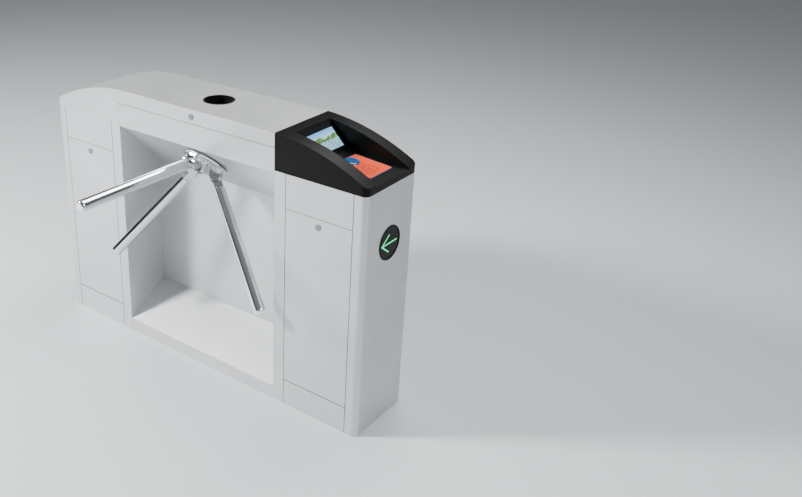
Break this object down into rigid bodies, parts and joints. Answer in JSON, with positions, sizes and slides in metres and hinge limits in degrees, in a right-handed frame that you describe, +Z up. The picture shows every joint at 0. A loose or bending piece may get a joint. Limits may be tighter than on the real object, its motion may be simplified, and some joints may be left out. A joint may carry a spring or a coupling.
{
  "type": "tripod turnstile",
  "caption": "Bridge-shaped stainless tripod turnstile with drop arms in an open niche, card pad and visitor-count screen on a sloping console, and a round direction light.",
  "frame": {"origin": "centre of the cabinet's underside, on the floor", "axes": "+X along the cabinet towards the console end, -Y towards the passage the arms close, +Z up"},
  "size_m": [1.403, 0.7783, 0.9812],
  "materials": {
    "satin_steel": "satin",
    "polished_steel": "polished",
    "cast_hub": "polished casting",
    "machined_steel": "machined",
    "galvanised": "zinc plated",
    "console_plastic": "fine satin texture",
    "screen_glass": "gloss",
    "screen_module": "lit",
    "pad_overlay": "gloss",
    "blue_lens": "translucent",
    "black_plastic": "satin",
    "dark_lens": "gloss",
    "lock_chrome": "polished",
    "circuit_board": "solder mask",
    "bearing_steel": "ground"
  },
  "bodies": {
    "cabinet": {"pillar_left": "satin_steel", "pillar_right": "satin_steel", "end_cap": "satin_steel", "rear_panel": "satin_steel", "fascia": "satin_steel", "niche_back": "satin_steel", "niche_ceiling": "satin_steel", "niche_sill": "satin_steel", "infill_left": "satin_steel", "infill_right": "satin_steel", "kick_left": "satin_steel", "kick_right": "satin_steel", "base_left": "galvanised", "base_right": "galvanised", "door_pivots": "machined_steel", "lid_hinge_fixed": "galvanised", "lid_hinge_pin": "machined_steel", "mech_plate": "galvanised", "bearing_housing": "galvanised", "bearings": "bearing_steel", "solenoids": "black_plastic", "control_board": "circuit_board", "power_supply": "galvanised", "console": "console_plastic", "display_glass": "screen_glass", "display_module": "screen_module", "reader_pad": "pad_overlay", "reader_lens": "blue_lens", "reader_box": "black_plastic", "indicator_bezel": "black_plastic", "indicator_lens": "dark_lens", "indicator_board": "circuit_board"},
    "rotor": {"main_shaft": "machined_steel", "hub": "cast_hub", "index_disc": "machined_steel", "clevis_pins": "machined_steel"},
    "arm_1": {"arm_tube_1": "polished_steel", "arm_tongue_1": "cast_hub", "arm_cap_1": "polished_steel"},
    "arm_2": {"arm_tube_2": "polished_steel", "arm_tongue_2": "cast_hub", "arm_cap_2": "polished_steel"},
    "arm_3": {"arm_tube_3": "polished_steel", "arm_tongue_3": "cast_hub", "arm_cap_3": "polished_steel"},
    "door_left": {"door_left": "satin_steel", "lock_body_left": "lock_chrome"},
    "door_right": {"door_right": "satin_steel", "lock_body_right": "lock_chrome"},
    "plug_left": {"lock_plug_left": "lock_chrome"},
    "plug_right": {"lock_plug_right": "lock_chrome"},
    "lid": {"lid": "satin_steel", "lid_cup": "black_plastic", "lid_hinge_moving": "galvanised", "lid_lock_body": "lock_chrome"},
    "lid_plug": {"lid_lock_plug": "lock_chrome"},
    "pawl_left": {"pawl_left": "machined_steel"},
    "pawl_right": {"pawl_right": "machined_steel"},
    "plunger_left": {"plunger_left": "machined_steel"},
    "plunger_right": {"plunger_right": "machined_steel"}
  },
  "joints": [
    {"name": "rotor_turn", "type": "hinge", "parent": "cabinet", "child": "rotor", "pos_m": [0, -0.10004, 0.75796], "axis": [0, -0.7071, -0.7071], "continuous": true},
    {"name": "arm_1_fold", "type": "hinge", "parent": "rotor", "child": "arm_1", "pos_m": [0, -0.14035, 0.79826], "axis": [1, 0, 0], "range_deg": [0, 90]},
    {"name": "arm_2_fold", "type": "hinge", "parent": "rotor", "child": "arm_2", "pos_m": [0.04936, -0.07989, 0.73781], "axis": [-0.5, 0.6124, -0.6124], "range_deg": [0, 45]},
    {"name": "arm_3_fold", "type": "hinge", "parent": "rotor", "child": "arm_3", "pos_m": [-0.04936, -0.07989, 0.73781], "axis": [-0.5, -0.6124, 0.6124], "range_deg": [0, 45]},
    {"name": "door_left_hinge", "type": "hinge", "parent": "cabinet", "child": "door_left", "pos_m": [-0.5275, -0.134, 0.10579], "axis": [1, 0, 0], "range_deg": [0, 85]},
    {"name": "door_right_hinge", "type": "hinge", "parent": "cabinet", "child": "door_right", "pos_m": [0.5275, -0.134, 0.10579], "axis": [1, 0, 0], "range_deg": [0, 85]},
    {"name": "lock_left_turn", "type": "hinge", "parent": "door_left", "child": "plug_left", "pos_m": [-0.5275, -0.14, 0.71], "axis": [0, -1, 0], "range_deg": [0, 90]},
    {"name": "lock_right_turn", "type": "hinge", "parent": "door_right", "child": "plug_right", "pos_m": [0.5275, -0.14, 0.71], "axis": [0, -1, 0], "range_deg": [0, 90]},
    {"name": "lid_hinge", "type": "hinge", "parent": "cabinet", "child": "lid", "pos_m": [0, 0.144, 0.93], "axis": [-1, 0, 0], "range_deg": [0, 80]},
    {"name": "lid_lock_turn", "type": "hinge", "parent": "lid", "child": "lid_plug", "pos_m": [0, -0.14, 0.955], "axis": [0, -1, 0], "range_deg": [0, 90]},
    {"name": "pawl_left_turn", "type": "hinge", "parent": "cabinet", "child": "pawl_left", "pos_m": [-0.066, -0.0463, 0.86261], "axis": [0, -0.7071, -0.7071], "range_deg": [0, 11]},
    {"name": "plunger_left_slide", "type": "slide", "parent": "cabinet", "child": "plunger_left", "axis": [1, 0, 0], "range_m": [0, 0.0128]},
    {"name": "pawl_right_turn", "type": "hinge", "parent": "cabinet", "child": "pawl_right", "pos_m": [0.066, -0.0463, 0.86261], "axis": [0, 0.7071, 0.7071], "range_deg": [0, 11]},
    {"name": "plunger_right_slide", "type": "slide", "parent": "cabinet", "child": "plunger_right", "axis": [-1, 0, 0], "range_m": [0, 0.0128]}
  ],
  "couplings": [
    {"joint": "plunger_left_slide", "follows": "pawl_left_turn", "m_per_rad": 0.066},
    {"joint": "plunger_right_slide", "follows": "pawl_right_turn", "m_per_rad": 0.066}
  ]
}
